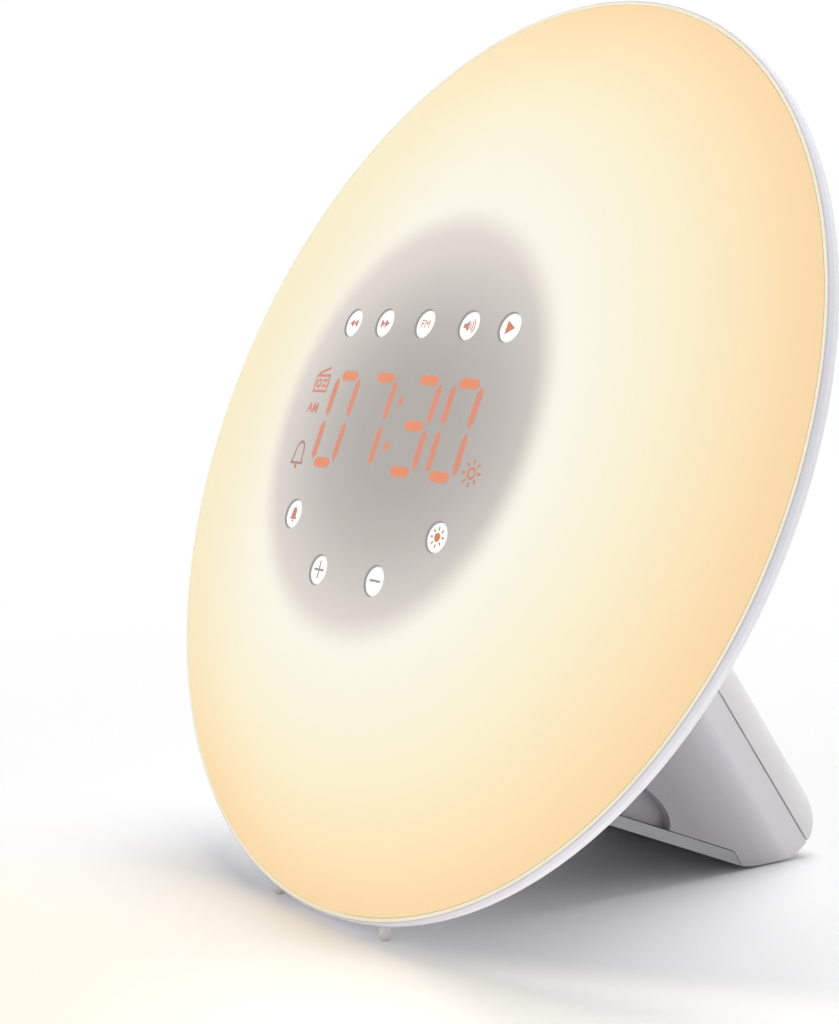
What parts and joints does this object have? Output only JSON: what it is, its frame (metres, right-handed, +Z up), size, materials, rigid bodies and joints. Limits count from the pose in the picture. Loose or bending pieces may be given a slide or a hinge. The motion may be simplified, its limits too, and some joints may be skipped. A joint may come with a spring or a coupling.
{
  "type": "sunrise alarm clock",
  "caption": "Round domed wake-up lamp that leans back on a wedge leg, with a glowing diffuser, a lit digital display and small round buttons on its face.",
  "frame": {"origin": "on the surface the clock stands on, under the middle of its bounding box", "axes": "+Z up, the face looks along -Y and leans back 22 degrees, the leg is at +Y, +X is to the right of someone facing the clock"},
  "size_m": [0.1842, 0.1084, 0.1724],
  "materials": {
    "opal_diffuser": "opal polycarbonate, fine satin, glows from behind",
    "white_plastic": "satin moulded ABS",
    "grey_plastic": "satin moulded ABS",
    "clear_rubber": "pale soft silicone",
    "grey_rubber": "moulded rubber",
    "reflector_plastic": "high-reflectance white",
    "circuit_board": "green solder mask",
    "led_lens": "yellow phosphor",
    "mask_film": "silver-grey printed film",
    "display_block": "moulded display body",
    "display_window": "tinted light film",
    "button_white": "satin white",
    "plunger_plastic": "moulded",
    "black_plastic": "moulded",
    "capacitor_can": "sleeved can",
    "nickel_pin": "nickel plated",
    "socket_plastic": "moulded nylon",
    "ribbon_film": "flat flexible cable",
    "foam_gasket": "closed-cell foam",
    "steel_basket": "pressed steel",
    "ferrite": "ferrite ring magnet",
    "paper_cone": "coated paper",
    "screw_steel": "zinc plated"
  },
  "bodies": {
    "clock": {"front_diffuser": "opal_diffuser", "rear_housing": "white_plastic", "leg_body": "white_plastic", "leg_rear_cover": "white_plastic", "leg_base_plate": "grey_plastic", "front_feet": "clear_rubber", "leg_pad": "grey_rubber", "aerial_grommet": "grey_rubber", "reflector": "reflector_plastic", "led_board": "circuit_board", "leds": "led_lens", "control_frame": "reflector_plastic", "face_mask": "mask_film", "control_board": "circuit_board", "display_module": "display_block", "display_filter": "display_window", "switch_bodies": "black_plastic", "main_board": "circuit_board", "capacitors": "capacitor_can", "dc_jack": "black_plastic", "dc_jack_pin": "nickel_pin", "ribbon_sockets": "socket_plastic", "ribbon_cable": "ribbon_film", "speaker_gasket": "foam_gasket", "speaker_frame": "steel_basket", "speaker_magnet": "ferrite", "speaker_cone": "paper_cone", "housing_screws": "screw_steel", "leg_screws": "screw_steel", "frame_screws": "screw_steel", "control_board_screws": "screw_steel", "led_board_screws": "screw_steel", "main_board_screws": "screw_steel", "base_plate_screws": "screw_steel", "cover_screws": "screw_steel", "speaker_screws": "screw_steel"},
    "rewind_key": {"button_rewind": "button_white", "plunger_rewind": "plunger_plastic"},
    "forward_key": {"button_forward": "button_white", "plunger_forward": "plunger_plastic"},
    "fm_key": {"button_fm": "button_white", "plunger_fm": "plunger_plastic"},
    "sound_key": {"button_sound": "button_white", "plunger_sound": "plunger_plastic"},
    "play_key": {"button_play": "button_white", "plunger_play": "plunger_plastic"},
    "alarm_key": {"button_alarm": "button_white", "plunger_alarm": "plunger_plastic"},
    "plus_key": {"button_plus": "button_white", "plunger_plus": "plunger_plastic"},
    "minus_key": {"button_minus": "button_white", "plunger_minus": "plunger_plastic"},
    "light_key": {"button_light": "button_white", "plunger_light": "plunger_plastic"}
  },
  "joints": [
    {"name": "rewind_press", "type": "slide", "parent": "clock", "child": "rewind_key", "axis": [0, 0.9272, -0.3746], "range_m": [0, 0.0005], "stiffness_N_per_m": 800, "springref_m": -0.0005},
    {"name": "forward_press", "type": "slide", "parent": "clock", "child": "forward_key", "axis": [0, 0.9272, -0.3746], "range_m": [0, 0.0005], "stiffness_N_per_m": 800, "springref_m": -0.0005},
    {"name": "fm_press", "type": "slide", "parent": "clock", "child": "fm_key", "axis": [0, 0.9272, -0.3746], "range_m": [0, 0.0005], "stiffness_N_per_m": 800, "springref_m": -0.0005},
    {"name": "sound_press", "type": "slide", "parent": "clock", "child": "sound_key", "axis": [0, 0.9272, -0.3746], "range_m": [0, 0.0005], "stiffness_N_per_m": 800, "springref_m": -0.0005},
    {"name": "play_press", "type": "slide", "parent": "clock", "child": "play_key", "axis": [0, 0.9272, -0.3746], "range_m": [0, 0.0005], "stiffness_N_per_m": 800, "springref_m": -0.0005},
    {"name": "alarm_press", "type": "slide", "parent": "clock", "child": "alarm_key", "axis": [0, 0.9272, -0.3746], "range_m": [0, 0.0005], "stiffness_N_per_m": 800, "springref_m": -0.0005},
    {"name": "plus_press", "type": "slide", "parent": "clock", "child": "plus_key", "axis": [0, 0.9272, -0.3746], "range_m": [0, 0.0005], "stiffness_N_per_m": 800, "springref_m": -0.0005},
    {"name": "minus_press", "type": "slide", "parent": "clock", "child": "minus_key", "axis": [0, 0.9272, -0.3746], "range_m": [0, 0.0005], "stiffness_N_per_m": 800, "springref_m": -0.0005},
    {"name": "light_press", "type": "slide", "parent": "clock", "child": "light_key", "axis": [0, 0.9272, -0.3746], "range_m": [0, 0.0005], "stiffness_N_per_m": 800, "springref_m": -0.0005}
  ]
}
